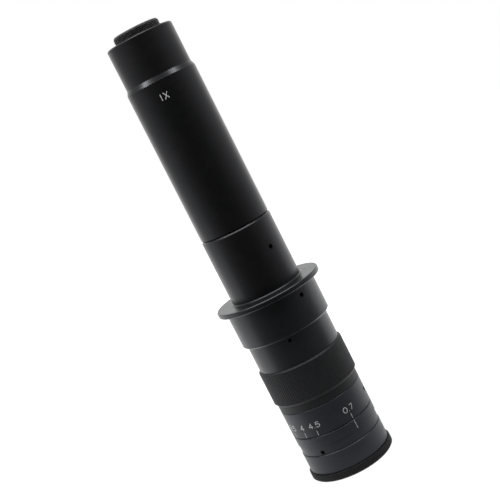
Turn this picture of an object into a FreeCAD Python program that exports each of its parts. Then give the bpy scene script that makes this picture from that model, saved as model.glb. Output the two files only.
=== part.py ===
import FreeCAD, Part
import math
import os

import Sketcher

os.makedirs("parts", exist_ok=True)
doc = FreeCAD.newDocument("zoom_lens")

# Driving dimensions, in millimetres and degrees. Heights run up from the front end.
SIZES = [
    # Lengths of the outer sections, from the front end up to the camera end
    ("front_ring_length", 4.3),
    ("front_barrel_length", 10.9),
    ("index_low_length", 5.0),
    ("index_high_length", 5.9),
    ("turning_gap", 0.3),
    ("scale_ring_length", 14.8),
    ("skirt_length", 4.4),
    ("grip_length", 20.2),
    ("body_length", 15.1),
    ("collar_length", 20.4),
    ("flange_thickness", 2.8),
    ("coupling_length", 36.9),
    ("parfocal_gap", 0.4),
    ("main_tube_length", 83.7),
    ("tube_cone_length", 2.5),
    ("camera_tube_length", 22.1),
    ("thread_length", 4.4),
    # The body's radius, and the steps from it to the other outer radii
    ("body_radius", 22.9),
    ("front_ring_step", 0.85),
    ("barrel_step", 0.15),
    ("index_low_step", 0.5),
    ("index_high_step", 0.1),
    ("scale_step", 0.05),
    ("grip_step", 1.1),
    ("collar_step", 2.1),
    ("flange_radius", 29.2),
    ("main_tube_step", 3.75),
    ("coupling_step", 0.4),
    ("camera_tube_step", 1.05),
    ("thread_radius", 12.7),
    # Edge chamfers
    ("fine_chamfer", 0.3),
    ("edge_chamfer", 0.8),
    ("grip_chamfer", 1.5),
    ("index_cone", 0.4),
    ("collar_chamfer", 1.0),
    ("flange_chamfer", 0.4),
    ("thread_chamfer", 0.5),
    # Front barrel and its screwed ring
    ("front_recess", 0.6),
    ("nose_step", 0.75),
    ("nose_wall", 1.0),
    ("front_lip", 0.7),
    ("front_thread_depth", 4.4),
    ("objective_step", 4.4),
    ("objective_seat", 1.2),
    ("objective_depth", 10.6),
    # Objective lenses: edge thicknesses, and the radii of the ground faces
    ("objective_singlet_edge", 2.4),
    ("objective_spacer_length", 1.2),
    ("objective_flint_edge", 2.4),
    ("objective_crown_edge", 1.8),
    ("objective_singlet_front", 90.0),
    ("objective_singlet_back", 160.0),
    ("objective_flint_front", 110.0),
    ("objective_flint_back", 240.0),
    ("objective_crown_front", 70.0),
    # Guide barrel, cam tube and turning rings
    ("body_wall", 4.0),
    ("guide_wall", 1.3),
    ("cam_wall", 1.7),
    ("sleeve_wall", 1.0),
    ("spigot_wall", 1.8),
    ("guide_seat_depth", 9.0),
    ("running_fit", 0.08),
    # Straight knurl
    ("grip_teeth", 110),
    ("knurl_depth", 0.2),
    ("knurl_half_width", 0.4),
    # Cams and their followers
    ("zoom_turn", 308.5),
    ("slot_clearance", 0.1),
    ("cam_overcut", 0.4),
    ("follower_radius", 1.5),
    ("stud_radius", 1.0),
    ("stud_length", 2.6),
    ("follower_end_gap", 0.3),
    ("variator_seat", 4.5),
    ("variator_travel", 12.6),
    ("compensator_travel", 6.6),
    ("cell_gap", 1.1),
    # Moving cells and their lenses, whose ground radii are those at the clear radius cell_clear
    ("cell_wall", 3.6),
    ("cell_seat", 1.4),
    ("cell_clear", 12.56),
    ("cell_lip", 1.2),
    ("variator_length", 11.0),
    ("variator_flint_edge", 5.6),
    ("variator_crown_edge", 1.6),
    ("variator_flint_front", 60.0),
    ("variator_cemented", 30.0),
    ("variator_crown_back", 80.0),
    ("compensator_length", 8.0),
    ("compensator_crown_edge", 1.8),
    ("compensator_flint_edge", 3.2),
    ("compensator_crown_front", 60.0),
    ("compensator_cemented", 36.0),
    ("compensator_flint_back", 200.0),
    ("retainer_length", 1.6),
    ("glass_fit", 0.04),
    ("cement_gap", 0.03),
    # Main body, rear cell and stop
    ("body_spigot_length", 19.8),
    ("body_shoulder", 1.5),
    ("body_seat", 2.2),
    ("rear_wall", 3.1),
    ("rear_cell_length", 8.6),
    ("rear_cell_wall", 5.6),
    ("rear_crown_edge", 2.0),
    ("rear_flint_edge", 3.0),
    ("rear_crown_front", 90.0),
    ("rear_cemented", 34.0),
    ("rear_flint_back", 150.0),
    ("stop_thickness", 0.6),
    ("stop_radius", 7.0),
    # Tubes above the flange
    ("coupling_wall", 1.8),
    ("tube_spigot_step", 1.75),
    ("tube_spigot_length", 26.0),
    ("tube_wall", 1.8),
    ("tube_seat", 1.2),
    ("tube_seat_height", 2.0),
    ("tube_cell_length", 12.0),
    ("tube_cell_wall", 3.1),
    ("tube_crown_edge", 3.0),
    ("tube_flint_edge", 3.6),
    ("tube_crown_front", 120.0),
    ("tube_cemented", 40.0),
    ("tube_flint_back", 300.0),
    ("lock_ring_length", 3.0),
    ("camera_spigot_step", 1.2),
    ("camera_spigot_length", 12.0),
    ("camera_spigot_wall", 1.6),
    ("camera_wall", 2.0),
    ("thread_wall", 1.7),
    # Set screws: radii, how deep they sit, and where they are
    ("screw_radius", 1.25),
    ("small_screw_radius", 0.9),
    ("screw_recess", 0.3),
    ("deep_screw_recess", 0.8),
    ("screw_socket_depth", 0.8),
    ("screw_socket_share", 0.55),
    ("coupling_screw_height", 10.4),
    ("coupling_screw_angle", 36.3),
    ("collar_screw_height", 15.9),
    ("collar_screw_angle", 35.3),
    ("body_screw_height", 13.1),
    ("body_screw_angle", -3.6),
    ("scale_screw_height", 7.4),
    ("scale_screw_angle", 74.2),
    ("index_screw_height", 1.7),
    ("index_screw_angle", -34.0),
    ("sleeve_screw_height", 2.0),
    ("sleeve_screw_angle", 90.0),
    ("sleeve_screw_bite", 1.3),
    ("screws_in_ring", 3),
    ("screws_in_scale_ring", 2),
]

sheet = doc.addObject("Spreadsheet::Sheet", "Dim")
for row, (alias, size) in enumerate(SIZES, start=1):
    sheet.set(f"A{row}", alias)
    sheet.set(f"B{row}", str(size))
    sheet.setAlias(f"B{row}", alias)
doc.recompute()

# Radii that follow from the body's radius and the named walls and steps
FRONT_RING_RADIUS = "(Dim.body_radius + Dim.front_ring_step)"
BARREL_RADIUS = "(Dim.body_radius - Dim.barrel_step)"
NOSE_RADIUS = f"({BARREL_RADIUS} - Dim.nose_step)"
FRONT_THREAD_RADIUS = f"({NOSE_RADIUS} - Dim.nose_wall)"
FRONT_LIP_RADIUS = f"({NOSE_RADIUS} - Dim.front_lip)"
OBJECTIVE_RADIUS = f"({FRONT_THREAD_RADIUS} - Dim.objective_step)"
OBJECTIVE_LIGHT = f"({OBJECTIVE_RADIUS} - Dim.objective_seat)"
INDEX_LOW_RADIUS = "(Dim.body_radius - Dim.index_low_step)"
INDEX_HIGH_RADIUS = "(Dim.body_radius - Dim.index_high_step)"
SCALE_RADIUS = "(Dim.body_radius - Dim.scale_step)"
GRIP_RADIUS = "(Dim.body_radius + Dim.grip_step)"
COLLAR_RADIUS = "(Dim.body_radius + Dim.collar_step)"
GUIDE_RADIUS = "(Dim.body_radius - Dim.body_wall)"
GUIDE_BORE = f"({GUIDE_RADIUS} - Dim.guide_wall)"
CAM_RADIUS = f"({GUIDE_RADIUS} + Dim.cam_wall)"
SLEEVE_RADIUS = f"({CAM_RADIUS} + Dim.sleeve_wall)"
SPIGOT_RADIUS = f"({GUIDE_RADIUS} + Dim.spigot_wall)"
CELL_GLASS = f"({GUIDE_BORE} - Dim.cell_wall)"
CELL_LIGHT = f"({CELL_GLASS} - Dim.cell_seat)"
REAR_BORE = f"({SPIGOT_RADIUS} - Dim.rear_wall)"
BODY_LIGHT = f"({REAR_BORE} - Dim.body_seat)"
REAR_GLASS = f"({REAR_BORE} - Dim.rear_cell_wall)"
REAR_LIGHT = f"({REAR_GLASS} - Dim.cell_seat)"
COUPLING_BORE = f"({REAR_BORE} - Dim.coupling_wall)"
MAIN_TUBE_RADIUS = "(Dim.body_radius - Dim.main_tube_step)"
COUPLING_RADIUS = f"({MAIN_TUBE_RADIUS} + Dim.coupling_step)"
TUBE_SPIGOT_RADIUS = f"({MAIN_TUBE_RADIUS} - Dim.tube_spigot_step)"
TUBE_BORE = f"({TUBE_SPIGOT_RADIUS} - Dim.tube_wall)"
TUBE_LIGHT = f"({TUBE_BORE} - Dim.tube_seat)"
TUBE_GLASS = f"({TUBE_BORE} - Dim.tube_cell_wall)"
TUBE_CELL_LIGHT = f"({TUBE_GLASS} - Dim.cell_seat)"
CAMERA_TUBE_RADIUS = f"({MAIN_TUBE_RADIUS} - Dim.camera_tube_step)"
CAMERA_SPIGOT_RADIUS = f"({CAMERA_TUBE_RADIUS} - Dim.camera_spigot_step)"
CAMERA_BORE = f"({CAMERA_SPIGOT_RADIUS} - Dim.camera_spigot_wall)"
THREAD_BORE = "(Dim.thread_radius - Dim.thread_wall)"

# Heights of the joints between the sections, as expressions on the sheet
Z_RING = "Dim.front_ring_length"
Z_BARREL = f"{Z_RING} + Dim.front_barrel_length"
Z_STEP = f"{Z_BARREL} + Dim.index_low_length"
Z_INDEX = f"{Z_STEP} + Dim.index_high_length"
Z_SCALE = f"{Z_INDEX} + Dim.turning_gap"
Z_SKIRT = f"{Z_SCALE} + Dim.scale_ring_length"
Z_GRIP = f"{Z_SKIRT} + Dim.skirt_length"
Z_GRIP_TOP = f"{Z_GRIP} + Dim.grip_length"
Z_BODY = f"{Z_GRIP_TOP} + Dim.turning_gap"
Z_COLLAR = f"{Z_BODY} + Dim.body_length"
Z_FLANGE = f"{Z_COLLAR} + Dim.collar_length"
Z_COUPLING = f"{Z_FLANGE} + Dim.flange_thickness"
Z_TUBE = f"{Z_COUPLING} + Dim.coupling_length"
Z_CONE = f"{Z_TUBE} + Dim.main_tube_length"
Z_CAMERA = f"{Z_CONE} + Dim.tube_cone_length"
Z_THREAD = f"{Z_CAMERA} + Dim.camera_tube_length"
Z_TOP = f"{Z_THREAD} + Dim.thread_length"

# Seats inside the sections
Z_NOSE = "Dim.front_recess"
Z_OBJECTIVE = f"{Z_NOSE} + Dim.front_thread_depth"
Z_OBJECTIVE_SEAT = f"{Z_OBJECTIVE} + Dim.objective_depth"
Z_GUIDE = f"{Z_INDEX} - Dim.guide_seat_depth"
Z_REAR = f"{Z_COLLAR} + Dim.body_shoulder"
Z_STOP = f"{Z_REAR} + Dim.rear_cell_length"
Z_SPIGOT = f"{Z_COLLAR} + Dim.body_spigot_length"
Z_COUPLING_FOOT = f"{Z_STOP} + Dim.stop_thickness"
Z_TUBE_FOOT = f"{Z_TUBE} - Dim.tube_spigot_length"
Z_TUBE_CELL = f"{Z_TUBE} + Dim.tube_seat_height"
Z_CAMERA_FOOT = f"{Z_CAMERA} - Dim.camera_spigot_length"

# Corners of a set screw's socket
HEXAGON = 6

nodes = []


def number(expression):
    """The value of an expression on the sheet."""
    return float(sheet.evalExpression(expression))


def origin_feature(body, role):
    """A plane or axis of the body's own origin."""
    return next(item for item in body.Origin.OriginFeatures if item.Role == role)


def new_body(label):
    """An empty body that becomes the node of that name."""
    body = doc.addObject("PartDesign::Body", label)
    nodes.append(body)
    return body


def new_sketch(body, name, role):
    """A sketch on one of the body's own origin planes."""
    sketch = body.newObject("Sketcher::SketchObject", name)
    sketch.AttachmentSupport = (origin_feature(body, role), [""])
    sketch.MapMode = "FlatFace"
    return sketch


def pin_point(sketch, curve, end, across, up):
    """Ties one end of a curve to two expressions, or to an axis where one is 0."""
    place = ((across, "DistanceX", -2), (up, "DistanceY", -1))
    for expression, kind, axis in place:
        if expression == "0":
            sketch.addConstraint(Sketcher.Constraint("PointOnObject", curve, end, axis))
        else:
            size = number(expression)
            index = sketch.addConstraint(Sketcher.Constraint(kind, -1, 1, curve, end, size))
            sketch.setExpression(f"Constraints[{index}]", expression)


def polygon(sketch, points):
    """A closed outline whose corners are pairs of expressions."""
    corners = [FreeCAD.Vector(number(across), number(up), 0) for across, up in points]
    for start, end in zip(corners, corners[1:] + corners[:1]):
        sketch.addGeometry(Part.LineSegment(start, end), False)
    for index, (across, up) in enumerate(points):
        following = (index + 1) % len(points)
        sketch.addConstraint(Sketcher.Constraint("Coincident", index, 2, following, 1))
        pin_point(sketch, index, 1, across, up)


def turned(label, points, plane="XZ_Plane"):
    """A piece turned on the optical axis from a half section of radius and height."""
    body = new_body(label)
    sketch = new_sketch(body, f"{label}_section", plane)
    polygon(sketch, points)
    solid = body.newObject("PartDesign::Revolution", f"{label}_turned")
    solid.Profile = sketch
    solid.ReferenceAxis = (sketch, ["V_Axis"])
    solid.Angle = 360
    doc.recompute()
    return body


def tube(label, inner, outer, low, high, plane="XZ_Plane"):
    """A plain turned tube."""
    return turned(label, [(inner, low), (outer, low), (outer, high), (inner, high)], plane)


def cut_outwards(body, sketch, name, towards_back=False):
    """A pocket from the optical axis out through one wall."""
    pocket = body.newObject("PartDesign::Pocket", name)
    pocket.Profile = sketch
    pocket.Type = "ThroughAll"
    pocket.Reversed = not towards_back
    body.Tip = pocket
    doc.recompute()
    return pocket


def round_pattern(body, features, name, count):
    """Copies features evenly round the optical axis."""
    pattern = body.newObject("PartDesign::PolarPattern", name)
    pattern.Originals = features
    pattern.Axis = (origin_feature(body, "Z_Axis"), [""])
    pattern.Angle = 360
    pattern.setExpression("Occurrences", str(count))
    body.Tip = pattern
    doc.recompute()
    return pattern


def circle(sketch, up, radius):
    """A circle on the optical axis plane, at a height."""
    centre = FreeCAD.Vector(0, number(up), 0)
    curve = sketch.addGeometry(Part.Circle(centre, FreeCAD.Vector(0, 0, 1), number(radius)), False)
    pin_point(sketch, curve, 3, "0", up)
    index = sketch.addConstraint(Sketcher.Constraint("Radius", curve, number(radius)))
    sketch.setExpression(f"Constraints[{index}]", radius)


def turn_sketch(sketch, angle):
    """Turns an upright sketch about the optical axis by an expression in degrees."""
    turn = FreeCAD.Rotation(FreeCAD.Vector(0, 1, 0), number(angle))
    sketch.AttachmentOffset = FreeCAD.Placement(FreeCAD.Vector(0, 0, 0), turn)
    sketch.setExpression("AttachmentOffset.Rotation.Angle", angle)


def turn_body(body, angle):
    """Turns a finished body about the optical axis by an expression in degrees."""
    turn = FreeCAD.Rotation(FreeCAD.Vector(0, 0, 1), number(angle))
    body.Placement = FreeCAD.Placement(FreeCAD.Vector(0, 0, 0), turn)
    body.setExpression("Placement.Rotation.Angle", angle)


def lift_sketch(sketch, offset):
    """Moves an upright sketch from the axis towards the front by an expression."""
    sketch.AttachmentOffset = FreeCAD.Placement(FreeCAD.Vector(0, 0, number(offset)), FreeCAD.Rotation())
    sketch.setExpression("AttachmentOffset.Base.z", offset)


def screw_holes(body, name, height, radius, count, angle=None):
    """Tapped radial holes through a wall, evenly spaced, from the front or from an angle."""
    sketch = new_sketch(body, f"{name}_circle", "XZ_Plane")
    circle(sketch, height, radius)
    if angle:
        turn_sketch(sketch, angle)
    hole = cut_outwards(body, sketch, name)
    round_pattern(body, [hole], f"{name}_pattern", count)


def set_screws(label, height, radius, seat, outside, recess, count, angle):
    """Socket set screws that fill such holes, from the seat to a recess under the surface."""
    body = new_body(label)
    top = f"{outside} - {recess}"
    shank_sketch = new_sketch(body, f"{label}_circle", "XZ_Plane")
    circle(shank_sketch, height, radius)
    lift_sketch(shank_sketch, seat)
    shank = body.newObject("PartDesign::Pad", f"{label}_shank")
    shank.Profile = shank_sketch
    shank.setExpression("Length", f"{top} - ({seat})")
    doc.recompute()
    socket_sketch = new_sketch(body, f"{label}_socket_section", "XZ_Plane")
    lift_sketch(socket_sketch, top)
    corners = []
    for corner in range(HEXAGON):
        turn = 2 * math.pi * corner / HEXAGON
        reach = f"{radius} * Dim.screw_socket_share"
        across = "0" if corner % (HEXAGON // 2) == 0 else f"{reach} * {math.sin(turn):.6f}"
        corners.append((across, f"{height} + {reach} * {math.cos(turn):.6f}"))
    polygon(socket_sketch, corners)
    socket = body.newObject("PartDesign::Pocket", f"{label}_socket")
    socket.Profile = socket_sketch
    socket.setExpression("Length", "Dim.screw_socket_depth")
    body.Tip = socket
    doc.recompute()
    round_pattern(body, [shank, socket], f"{label}_pattern", count)
    turn_body(body, angle)


def ground_arc(clear, level, bend, upper):
    """The arc of a ground face, the height of its middle, and its ends at the axis and the seat.

    A bend is the sphere's radius, with a minus where the face is hollow. An arc that curves
    over the top starts at the seat and ends on the axis, and one that curves below is opposite.
    """
    hollow = bend.startswith("-")
    over = upper != hollow
    radius = number(bend.lstrip("-"))
    drop = math.sqrt(radius ** 2 - number(clear) ** 2)
    centre = number(level) - drop if over else number(level) + drop
    vertex = centre + radius if over else centre - radius
    sphere = Part.Circle(FreeCAD.Vector(0, centre, 0), FreeCAD.Vector(0, 0, 1), radius)
    seat = math.acos(number(clear) / radius)
    if over:
        return Part.ArcOfCircle(sphere, seat, math.pi / 2), vertex, 2, 1
    return Part.ArcOfCircle(sphere, -math.pi / 2, -seat), vertex, 1, 2


def lens(label, rim, clear, low, high, low_bend, high_bend):
    """A lens turned on its axis, with a flat seat outside the clear radius of each face."""
    body = new_body(label)
    sketch = new_sketch(body, f"{label}_section", "XZ_Plane")
    low_arc, low_vertex, low_axis, low_rim = ground_arc(clear, low, low_bend, False)
    high_arc, high_vertex, high_axis, high_rim = ground_arc(clear, high, high_bend, True)
    low_seat = FreeCAD.Vector(number(clear), number(low), 0)
    low_edge = FreeCAD.Vector(number(rim), number(low), 0)
    high_edge = FreeCAD.Vector(number(rim), number(high), 0)
    high_seat = FreeCAD.Vector(number(clear), number(high), 0)
    for curve in (
        Part.LineSegment(FreeCAD.Vector(0, high_vertex, 0), FreeCAD.Vector(0, low_vertex, 0)),
        low_arc,
        Part.LineSegment(low_seat, low_edge),
        Part.LineSegment(low_edge, high_edge),
        Part.LineSegment(high_edge, high_seat),
        high_arc,
    ):
        sketch.addGeometry(curve, False)
    for first, first_end, second, second_end in (
        (0, 2, 1, low_axis),
        (1, low_rim, 2, 1),
        (2, 2, 3, 1),
        (3, 2, 4, 1),
        (4, 2, 5, high_rim),
        (5, high_axis, 0, 1),
    ):
        sketch.addConstraint(Sketcher.Constraint("Coincident", first, first_end, second, second_end))
    for curve, end in ((0, 1), (0, 2), (1, 3), (5, 3)):
        sketch.addConstraint(Sketcher.Constraint("PointOnObject", curve, end, -2))
    pin_point(sketch, 2, 1, clear, low)
    pin_point(sketch, 3, 1, rim, low)
    pin_point(sketch, 3, 2, rim, high)
    pin_point(sketch, 4, 2, clear, high)
    for curve, bend in ((1, low_bend), (5, high_bend)):
        radius = bend.lstrip("-")
        index = sketch.addConstraint(Sketcher.Constraint("Radius", curve, number(radius)))
        sketch.setExpression(f"Constraints[{index}]", radius)
    solid = body.newObject("PartDesign::Revolution", f"{label}_ground")
    solid.Profile = sketch
    solid.ReferenceAxis = (sketch, ["V_Axis"])
    solid.Angle = 360
    doc.recompute()


def knurl(body, name, radius):
    """Straight V grooves round the largest radius of a ring, all along its length."""
    sketch = new_sketch(body, f"{name}_groove_section", "XY_Plane")
    width = "2 * Dim.knurl_half_width"
    over = f"{radius} + Dim.knurl_depth"
    polygon(sketch, [(f"{radius} - Dim.knurl_depth", "0"), (over, width), (over, f"-({width})")])
    groove = body.newObject("PartDesign::Pocket", f"{name}_groove")
    groove.Profile = sketch
    groove.Type = "ThroughAll"
    groove.Reversed = True
    body.Tip = groove
    doc.recompute()
    round_pattern(body, [groove], f"{name}_grooves", "Dim.grip_teeth")


def cell_bend(radius):
    """The ground radius of a lens in a moving cell, in proportion to its clear radius."""
    return f"{radius} * ({CELL_LIGHT} - Dim.glass_fit) / Dim.cell_clear"


def lens_cell(label, outer, low, length, glass, light):
    """A turned cell: a lip at its lower end carries the glass, a retaining ring closes it."""
    high = f"{low} + {length}"
    lip = f"{low} + Dim.cell_lip"
    points = [(light, low), (outer, low), (outer, high), (glass, high), (glass, lip), (light, lip)]
    return turned(label, points)


def follower(label, height, towards_back):
    """A stepped brass pin: a stud in the cell's wall and a head in the guide slot and the cam."""
    head_low = f"{GUIDE_BORE} - Dim.running_fit"
    stud_low = f"{head_low} - Dim.stud_length"
    body = new_body(label)
    steps = (
        ("stud", "Dim.stud_radius", stud_low, head_low),
        ("head", "Dim.follower_radius", head_low, f"{CAM_RADIUS} - Dim.follower_end_gap"),
    )
    for step, radius, start, end in steps:
        sketch = new_sketch(body, f"{label}_{step}_circle", "XZ_Plane")
        circle(sketch, height, radius)
        lift_sketch(sketch, f"-({start})" if towards_back else start)
        pad = body.newObject("PartDesign::Pad", f"{label}_{step}")
        pad.Profile = sketch
        pad.Reversed = towards_back
        pad.setExpression("Length", f"{end} - ({start})")
        body.Tip = pad
        doc.recompute()


def stud_hole(body, name, height, towards_back):
    """The hole in a cell's wall for its follower's stud."""
    sketch = new_sketch(body, f"{name}_circle", "XZ_Plane")
    circle(sketch, height, "Dim.stud_radius")
    cut_outwards(body, sketch, name, towards_back)


def straight_slot(body, name, low, high, towards_back):
    """A slot with round ends along the guide barrel, for one follower."""
    sketch = new_sketch(body, f"{name}_outline", "XZ_Plane")
    radius = "Dim.follower_radius + Dim.slot_clearance"
    half = number(radius)
    bottom = number(low)
    top = number(high)
    normal = FreeCAD.Vector(0, 0, 1)
    low_end = Part.Circle(FreeCAD.Vector(0, bottom, 0), normal, half)
    high_end = Part.Circle(FreeCAD.Vector(0, top, 0), normal, half)
    for curve in (
        Part.LineSegment(FreeCAD.Vector(-half, top, 0), FreeCAD.Vector(-half, bottom, 0)),
        Part.ArcOfCircle(low_end, math.pi, 2 * math.pi),
        Part.LineSegment(FreeCAD.Vector(half, bottom, 0), FreeCAD.Vector(half, top, 0)),
        Part.ArcOfCircle(high_end, 0, math.pi),
    ):
        sketch.addGeometry(curve, False)
    for first, first_end, second, second_end in ((0, 2, 1, 1), (1, 2, 2, 1), (2, 2, 3, 1), (3, 2, 0, 1)):
        sketch.addConstraint(Sketcher.Constraint("Tangent", first, first_end, second, second_end))
    pin_point(sketch, 1, 3, "0", low)
    pin_point(sketch, 3, 3, "0", high)
    index = sketch.addConstraint(Sketcher.Constraint("Radius", 1, half))
    sketch.setExpression(f"Constraints[{index}]", radius)
    cut_outwards(body, sketch, name, towards_back)


def cam_slot(body, name, rest, travel, back, rising):
    """A helical slot through the cam tube, with a round end at each limit of its follower.

    At rest the follower stands at the back or the front. The slot runs from there the way
    that the ring turns, seen from the front end, and climbs or falls by the travel.
    """
    side = 1 if back else -1
    inner = f"{side} * ({GUIDE_RADIUS} - Dim.cam_overcut)"
    outer = f"{side} * ({CAM_RADIUS} + Dim.cam_overcut)"
    half = "(Dim.follower_radius + Dim.slot_clearance)"
    section = new_sketch(body, f"{name}_section", "YZ_Plane")
    low = f"{rest} - {half}"
    high = f"{rest} + {half}"
    polygon(section, [(inner, low), (outer, low), (outer, high), (inner, high)])
    helix = body.newObject("PartDesign::SubtractiveHelix", name)
    helix.Profile = section
    helix.ReferenceAxis = (section, ["V_Axis"])
    helix.Mode = "pitch-height-angle"
    helix.Pitch = number(f"{travel} * 360 / Dim.zoom_turn")
    helix.Height = number(travel)
    helix.setExpression("Pitch", f"{travel} * 360 / Dim.zoom_turn")
    helix.setExpression("Height", travel)
    helix.LeftHanded = not rising
    helix.Reversed = not rising
    body.Tip = helix
    doc.recompute()
    start = new_sketch(body, f"{name}_start_circle", "XZ_Plane")
    circle(start, rest, half)
    cut_outwards(body, start, f"{name}_start", back)
    end = new_sketch(body, f"{name}_end_circle", "XZ_Plane")
    circle(end, f"{rest} + {travel}" if rising else f"{rest} - {travel}", half)
    turn_sketch(end, "Dim.zoom_turn")
    cut_outwards(body, end, f"{name}_end", back)


# Front ring: a knurled ring that screws over the barrel's nose and stands on its lip
front_ring = turned("front_ring", [
    (FRONT_LIP_RADIUS, "0"),
    (f"{FRONT_RING_RADIUS} - Dim.edge_chamfer", "0"),
    (FRONT_RING_RADIUS, "Dim.edge_chamfer"),
    (FRONT_RING_RADIUS, f"{Z_RING} - Dim.fine_chamfer"),
    (f"{FRONT_RING_RADIUS} - Dim.fine_chamfer", Z_RING),
    (NOSE_RADIUS, Z_RING),
    (NOSE_RADIUS, Z_NOSE),
    (FRONT_LIP_RADIUS, Z_NOSE),
])
knurl(front_ring, "front_ring", FRONT_RING_RADIUS)

# Front barrel: filter thread, objective bore, guide barrel seat and the index ring's spigot
front_barrel = turned("front_barrel", [
    (FRONT_THREAD_RADIUS, Z_NOSE),
    (NOSE_RADIUS, Z_NOSE),
    (NOSE_RADIUS, Z_RING),
    (f"{BARREL_RADIUS} - Dim.fine_chamfer", Z_RING),
    (BARREL_RADIUS, f"{Z_RING} + Dim.fine_chamfer"),
    (BARREL_RADIUS, f"{Z_BARREL} - Dim.fine_chamfer"),
    (f"{BARREL_RADIUS} - Dim.fine_chamfer", Z_BARREL),
    (SPIGOT_RADIUS, Z_BARREL),
    (SPIGOT_RADIUS, Z_INDEX),
    (GUIDE_RADIUS, Z_INDEX),
    (GUIDE_RADIUS, Z_GUIDE),
    (OBJECTIVE_LIGHT, Z_GUIDE),
    (OBJECTIVE_LIGHT, Z_OBJECTIVE_SEAT),
    (OBJECTIVE_RADIUS, Z_OBJECTIVE_SEAT),
    (OBJECTIVE_RADIUS, Z_OBJECTIVE),
    (FRONT_THREAD_RADIUS, Z_OBJECTIVE),
])

# Objective group, loaded from the front: singlet on its seat, spacer, doublet, retaining ring
Z_SINGLET = f"{Z_OBJECTIVE_SEAT} - Dim.objective_singlet_edge"
Z_SPACER = f"{Z_SINGLET} - Dim.objective_spacer_length"
Z_FRONT_FLINT = f"{Z_SPACER} - Dim.objective_flint_edge"
Z_FRONT_CROWN = f"{Z_FRONT_FLINT} - Dim.cement_gap - Dim.objective_crown_edge"
OBJECTIVE_RIM = f"{OBJECTIVE_RADIUS} - Dim.glass_fit"
OBJECTIVE_CLEAR = f"{OBJECTIVE_LIGHT} - Dim.glass_fit"
lens("objective_singlet", OBJECTIVE_RIM, OBJECTIVE_CLEAR, Z_SINGLET, Z_OBJECTIVE_SEAT,
     "Dim.objective_singlet_front", "Dim.objective_singlet_back")
tube("objective_spacer", OBJECTIVE_LIGHT, OBJECTIVE_RADIUS, Z_SPACER, Z_SINGLET)
lens("objective_flint", OBJECTIVE_RIM, OBJECTIVE_CLEAR, Z_FRONT_FLINT, Z_SPACER,
     "Dim.objective_flint_front", "-Dim.objective_flint_back")
lens("objective_crown", OBJECTIVE_RIM, OBJECTIVE_CLEAR, Z_FRONT_CROWN,
     f"{Z_FRONT_FLINT} - Dim.cement_gap", "Dim.objective_crown_front", "-Dim.objective_flint_front")
tube("objective_retaining_ring", OBJECTIVE_LIGHT, OBJECTIVE_RADIUS,
     f"{Z_FRONT_CROWN} - Dim.retainer_length", Z_FRONT_CROWN)

# Index ring: clamped on the barrel's spigot by set screws, carries the index line
index_ring = turned("index_ring", [
    (SPIGOT_RADIUS, Z_BARREL),
    (f"{INDEX_LOW_RADIUS} - Dim.fine_chamfer", Z_BARREL),
    (INDEX_LOW_RADIUS, f"{Z_BARREL} + Dim.fine_chamfer"),
    (INDEX_LOW_RADIUS, Z_STEP),
    (INDEX_HIGH_RADIUS, f"{Z_STEP} + Dim.index_cone"),
    (INDEX_HIGH_RADIUS, f"{Z_INDEX} - Dim.fine_chamfer"),
    (f"{INDEX_HIGH_RADIUS} - Dim.fine_chamfer", Z_INDEX),
    (SPIGOT_RADIUS, Z_INDEX),
])
INDEX_SCREW = f"{Z_BARREL} + Dim.index_screw_height"
screw_holes(index_ring, "index_screw_hole", INDEX_SCREW, "Dim.screw_radius", "Dim.screws_in_ring")
turn_body(index_ring, "Dim.index_screw_angle")
set_screws("index_ring_screws", INDEX_SCREW, "Dim.screw_radius", SPIGOT_RADIUS,
           INDEX_LOW_RADIUS, "Dim.screw_recess", "Dim.screws_in_ring", "Dim.index_screw_angle")

# Guide barrel: the fixed inner tube, with a straight slot for each follower
guide_barrel = tube("guide_barrel", GUIDE_BORE, GUIDE_RADIUS, Z_GUIDE, Z_COLLAR)
VARIATOR = f"({Z_SCALE} + Dim.variator_seat)"
VARIATOR_END = f"{VARIATOR} + Dim.variator_travel"
CELL_HALVES = "(Dim.variator_length + Dim.compensator_length) / 2"
COMPENSATOR = f"({VARIATOR_END} + {CELL_HALVES} + Dim.cell_gap + Dim.compensator_travel)"
COMPENSATOR_END = f"{COMPENSATOR} - Dim.compensator_travel"
straight_slot(guide_barrel, "variator_slot", VARIATOR, VARIATOR_END, True)
straight_slot(guide_barrel, "compensator_slot", COMPENSATOR_END, COMPENSATOR, False)

# Cam tube: turns on the guide barrel and drives both cells through its helical slots.
# Its section stands where the first cam starts, so that no slot runs along the tube's seam
cam_tube = tube("cam_tube", f"{GUIDE_RADIUS} + Dim.running_fit", CAM_RADIUS, Z_SCALE, Z_GRIP_TOP,
                "YZ_Plane")
cam_slot(cam_tube, "variator_cam", VARIATOR, "Dim.variator_travel", True, True)
cam_slot(cam_tube, "compensator_cam", COMPENSATOR, "Dim.compensator_travel", False, False)
SLEEVE_SCREW = f"{Z_SCALE} + Dim.sleeve_screw_height"
screw_holes(cam_tube, "sleeve_tap", SLEEVE_SCREW, "Dim.small_screw_radius", "Dim.screws_in_ring",
            "Dim.sleeve_screw_angle")

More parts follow.
